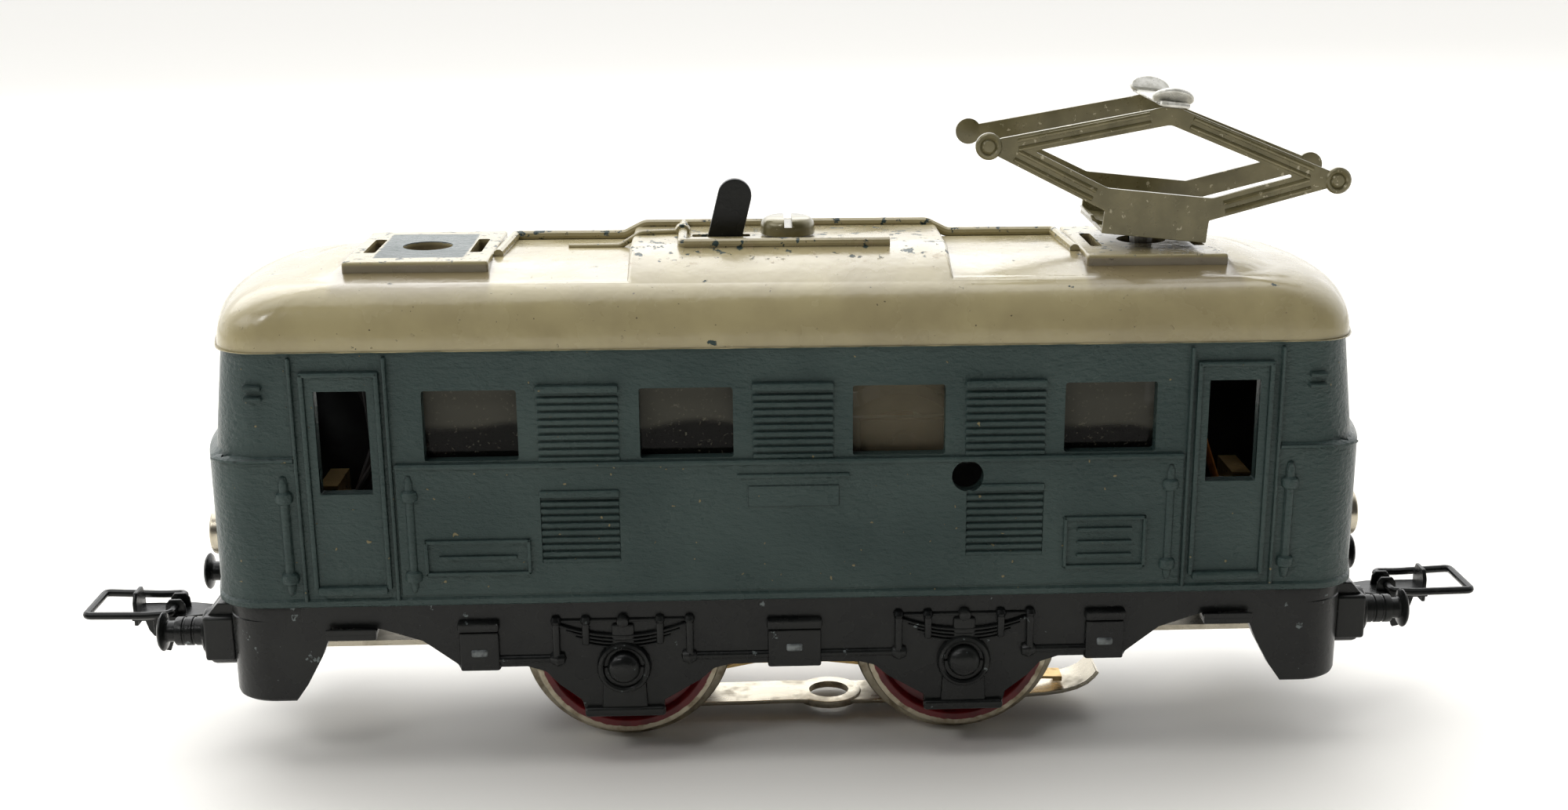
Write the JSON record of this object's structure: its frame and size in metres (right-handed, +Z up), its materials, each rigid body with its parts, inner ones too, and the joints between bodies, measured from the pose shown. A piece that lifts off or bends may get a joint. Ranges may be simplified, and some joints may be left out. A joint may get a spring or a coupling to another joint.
{
  "type": "model electric locomotive",
  "caption": "Two-axle toy electric locomotive with a cast shell, geared motor, pickup shoe, hook-and-bail couplers and a roof pantograph.",
  "frame": {"origin": "on the ground under the centre of the locomotive, at the bottom of the wheel flanges", "axes": "+X to the rear end (the end with the pantograph), +Y to the far side, +Z up"},
  "size_m": [0.1506, 0.0328, 0.0682],
  "materials": {
    "body_paint": "slate blue-green paint, semi-gloss, fine crinkle",
    "roof_paint": "khaki-cream gloss paint, chipped at edges",
    "black_casting": "satin black paint on a zinc casting, worn to grey on high spots",
    "black_sheet": "blackened sheet steel",
    "olive_paint": "olive-beige gloss paint on stamped sheet",
    "nickel": "nickel plate, lightly tarnished",
    "steel": "bare machined steel",
    "brass": "bare brass",
    "copper_winding": "enamelled copper wire",
    "wheel_red": "dark red paint on the wheel centre, bright tread",
    "window_sheet": "clear yellowed celluloid sheet",
    "lens_glass": "clear moulded lens",
    "board": "brown pressed board",
    "wire_cover": "orange wire insulation"
  },
  "bodies": {
    "locomotive": {"body_shell": "body_paint", "chassis_frame": "black_casting", "window_strip_near": "window_sheet", "window_strip_far": "window_sheet", "buffer_front_near": "black_casting", "headlamp_ring_front_near": "nickel", "headlamp_lens_front_near": "lens_glass", "buffer_front_far": "black_casting", "headlamp_ring_front_far": "nickel", "headlamp_lens_front_far": "lens_glass", "lamp_socket_front": "brass", "lamp_bulb_front": "lens_glass", "coupler_plate_front": "nickel", "buffer_rear_near": "black_casting", "headlamp_ring_rear_near": "nickel", "headlamp_lens_rear_near": "lens_glass", "buffer_rear_far": "black_casting", "headlamp_ring_rear_far": "nickel", "headlamp_lens_rear_far": "lens_glass", "lamp_socket_rear": "brass", "lamp_bulb_rear": "lens_glass", "coupler_plate_rear": "nickel", "roof_screw": "olive_paint", "screw_pillar": "steel", "gear_side_plate": "steel", "brush_side_plate": "steel", "field_magnet": "steel", "field_coil": "copper_winding", "idler_pin": "steel", "brush_plate": "board", "relay_frame": "steel", "relay_coil": "copper_winding", "contact_base": "board", "contact_strip": "brass", "lead_wire": "wire_cover", "pantograph_rivet": "steel", "pickup_carrier": "board"},
    "wheelset_front": {"axle_front": "steel", "axle_gear_front": "brass", "wheel_front_near": "wheel_red", "wheel_front_far": "wheel_red"},
    "wheelset_rear": {"axle_rear": "steel", "axle_gear_rear": "brass", "wheel_rear_near": "wheel_red", "wheel_rear_far": "wheel_red"},
    "idler": {"idler_gear": "brass"},
    "armature_shaft": {"armature": "copper_winding", "commutator": "copper_winding", "armature_pinion": "brass"},
    "shoe": {"pickup_shoe": "nickel", "pickup_spring": "brass"},
    "lever": {"changeover_lever": "black_sheet"},
    "pantograph": {"pantograph_frame": "olive_paint", "pantograph_head": "nickel"},
    "relay_clapper": {"relay_armature": "steel"},
    "drawbar_front": {"coupler_arm_front": "black_sheet"},
    "bail_front": {"coupler_bail_front": "black_sheet"},
    "drawbar_rear": {"coupler_arm_rear": "black_sheet"},
    "bail_rear": {"coupler_bail_rear": "black_sheet"}
  },
  "joints": [
    {"name": "front_wheelset_spin", "type": "hinge", "parent": "locomotive", "child": "wheelset_front", "pos_m": [-0.0174, 0, 0.011], "axis": [0, 1, 0], "continuous": true},
    {"name": "rear_wheelset_spin", "type": "hinge", "parent": "locomotive", "child": "wheelset_rear", "pos_m": [0.0174, 0, 0.011], "axis": [0, 1, 0], "continuous": true},
    {"name": "idler_spin", "type": "hinge", "parent": "locomotive", "child": "idler", "pos_m": [0, 0, 0.01863], "axis": [0, 1, 0], "continuous": true},
    {"name": "armature_spin", "type": "hinge", "parent": "locomotive", "child": "armature_shaft", "pos_m": [0.01168, 0, 0.02843], "axis": [0, 1, 0], "continuous": true},
    {"name": "shoe_lift", "type": "slide", "parent": "locomotive", "child": "shoe", "axis": [0, 0, 1], "range_m": [0, 0.0012], "stiffness_N_per_m": 80, "springref_m": -0.002},
    {"name": "lever_throw", "type": "hinge", "parent": "locomotive", "child": "lever", "pos_m": [-0.0081, 0, 0.046], "axis": [0, 1, 0], "range_deg": [-12, 0]},
    {"name": "pantograph_rock", "type": "hinge", "parent": "locomotive", "child": "pantograph", "pos_m": [0.0371, 0, 0.0529], "axis": [0, 1, 0], "range_deg": [-8, 0]},
    {"name": "relay_pull", "type": "hinge", "parent": "locomotive", "child": "relay_clapper", "pos_m": [-0.034, 0, 0.0319], "axis": [0, 1, 0], "range_deg": [-7, 0], "stiffness_Nm_per_rad": 0.002, "springref_deg": 8.59},
    {"name": "coupler_front_swing", "type": "hinge", "parent": "locomotive", "child": "drawbar_front", "pos_m": [-0.052, 0, 0.012], "axis": [0, 0, 1], "range_deg": [-12, 12]},
    {"name": "bail_front_lift", "type": "hinge", "parent": "drawbar_front", "child": "bail_front", "pos_m": [-0.0662, 0, 0.0129], "axis": [0, 1, 0], "range_deg": [0, 35]},
    {"name": "coupler_rear_swing", "type": "hinge", "parent": "locomotive", "child": "drawbar_rear", "pos_m": [0.052, 0, 0.012], "axis": [0, 0, 1], "range_deg": [-12, 12]},
    {"name": "bail_rear_lift", "type": "hinge", "parent": "drawbar_rear", "child": "bail_rear", "pos_m": [0.0662, 0, 0.0129], "axis": [0, -1, 0], "range_deg": [0, 35]}
  ],
  "couplings": [
    {"joint": "rear_wheelset_spin", "follows": "front_wheelset_spin", "ratio": 1},
    {"joint": "idler_spin", "follows": "front_wheelset_spin", "ratio": -0.46154},
    {"joint": "armature_spin", "follows": "front_wheelset_spin", "ratio": 2.6667}
  ]
}
